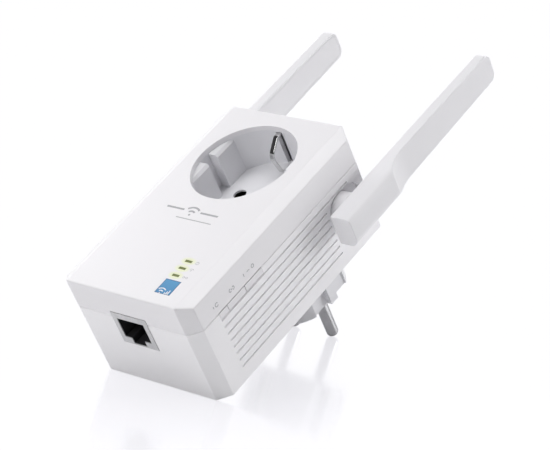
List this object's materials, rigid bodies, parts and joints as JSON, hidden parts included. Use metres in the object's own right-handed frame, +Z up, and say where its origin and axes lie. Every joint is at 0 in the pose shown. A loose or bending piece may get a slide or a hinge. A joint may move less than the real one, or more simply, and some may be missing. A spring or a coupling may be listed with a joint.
{
  "type": "wifi range extender",
  "caption": "Plug-in wifi range extender with a pass-through earthed socket, Ethernet port, side buttons and two hinged flat antennas.",
  "frame": {"origin": "centre of the plug's face, midway between the two pins", "axes": "+Z up the body towards the antenna tips, +Y along the pins into the wall, +X to the side with the buttons"},
  "size_m": [0.0896, 0.0842, 0.1729],
  "materials": {
    "white_case": "satin",
    "socket_white": "semi-gloss",
    "jack_black": "moulded",
    "port_shield": "tinned sheet",
    "nickel": "bright plated",
    "gold_contact": "gold plated",
    "contact_brass": "bare",
    "steel": "zinc plated",
    "board_green": "solder mask",
    "component_black": "moulded",
    "transformer_yellow": "taped",
    "capacitor_sleeve": "shrink sleeve",
    "fuse_green": "lacquered",
    "light_pipe": "clear moulded",
    "lamp": "clear resin",
    "lead_black": "extruded",
    "lead_brown": "extruded",
    "lead_blue": "extruded",
    "label_blue": "printed film",
    "label_grey": "printed film",
    "sheet": "clear film"
  },
  "bodies": {
    "body": {"front_cover": "white_case", "rear_housing": "white_case", "socket_cup": "socket_white", "plug_base": "socket_white", "earth_link_post": "socket_white", "ethernet_jack": "jack_black", "ethernet_shield": "port_shield", "plug_pin_live": "nickel", "plug_pin_neutral": "nickel", "socket_earth_bracket": "nickel", "plug_earth_strap": "nickel", "shield_can": "nickel", "ethernet_contacts": "gold_contact", "live_contact": "contact_brass", "neutral_contact": "contact_brass", "board_link_pins": "contact_brass", "case_screws": "steel", "plug_base_screws": "steel", "main_board": "board_green", "power_board": "board_green", "processor": "component_black", "ethernet_transformer": "component_black", "reset_switch": "component_black", "wps_switch": "component_black", "power_switch": "component_black", "emi_choke": "component_black", "antenna_right_hinge_washer": "component_black", "antenna_left_hinge_washer": "component_black", "transformer": "transformer_yellow", "bulk_capacitors": "capacitor_sleeve", "output_capacitor": "capacitor_sleeve", "mains_fuse": "fuse_green", "light_pipes": "light_pipe", "status_leds": "lamp", "antenna_right_coax_lead": "lead_black", "antenna_left_coax_lead": "lead_black", "live_lead": "lead_brown", "neutral_lead": "lead_blue", "signal_label": "label_blue", "rear_label": "label_grey", "insulation_sheet": "sheet"},
    "right_antenna": {"antenna_right_shell": "white_case", "antenna_right_hinge_cover": "white_case", "antenna_right_radiator": "board_green", "antenna_right_feed": "lead_black", "antenna_right_hinge_clip": "steel"},
    "left_antenna": {"antenna_left_shell": "white_case", "antenna_left_hinge_cover": "white_case", "antenna_left_radiator": "board_green", "antenna_left_feed": "lead_black", "antenna_left_hinge_clip": "steel"},
    "reset_key": {"reset_button": "white_case", "reset_plunger": "component_black"},
    "wps_key": {"wps_button": "white_case", "wps_plunger": "component_black"},
    "power_key": {"power_button": "white_case", "power_plunger": "component_black"}
  },
  "joints": [
    {"name": "right_antenna_hinge", "type": "hinge", "parent": "body", "child": "right_antenna", "pos_m": [0.0312, -0.0417, 0.0092], "axis": [1, 0, 0], "range_deg": [-10, 180]},
    {"name": "left_antenna_hinge", "type": "hinge", "parent": "body", "child": "left_antenna", "pos_m": [-0.0312, -0.0417, 0.0092], "axis": [1, 0, 0], "range_deg": [-10, 180]},
    {"name": "reset_press", "type": "slide", "parent": "body", "child": "reset_key", "axis": [-1, 0, 0], "range_m": [0, 0.0005], "stiffness_N_per_m": 600, "springref_m": -0.00025},
    {"name": "wps_press", "type": "slide", "parent": "body", "child": "wps_key", "axis": [-1, 0, 0], "range_m": [0, 0.0005], "stiffness_N_per_m": 600, "springref_m": -0.00025},
    {"name": "power_press", "type": "slide", "parent": "body", "child": "power_key", "axis": [-1, 0, 0], "range_m": [0, 0.0016], "stiffness_N_per_m": 300, "springref_m": -0.0008}
  ]
}
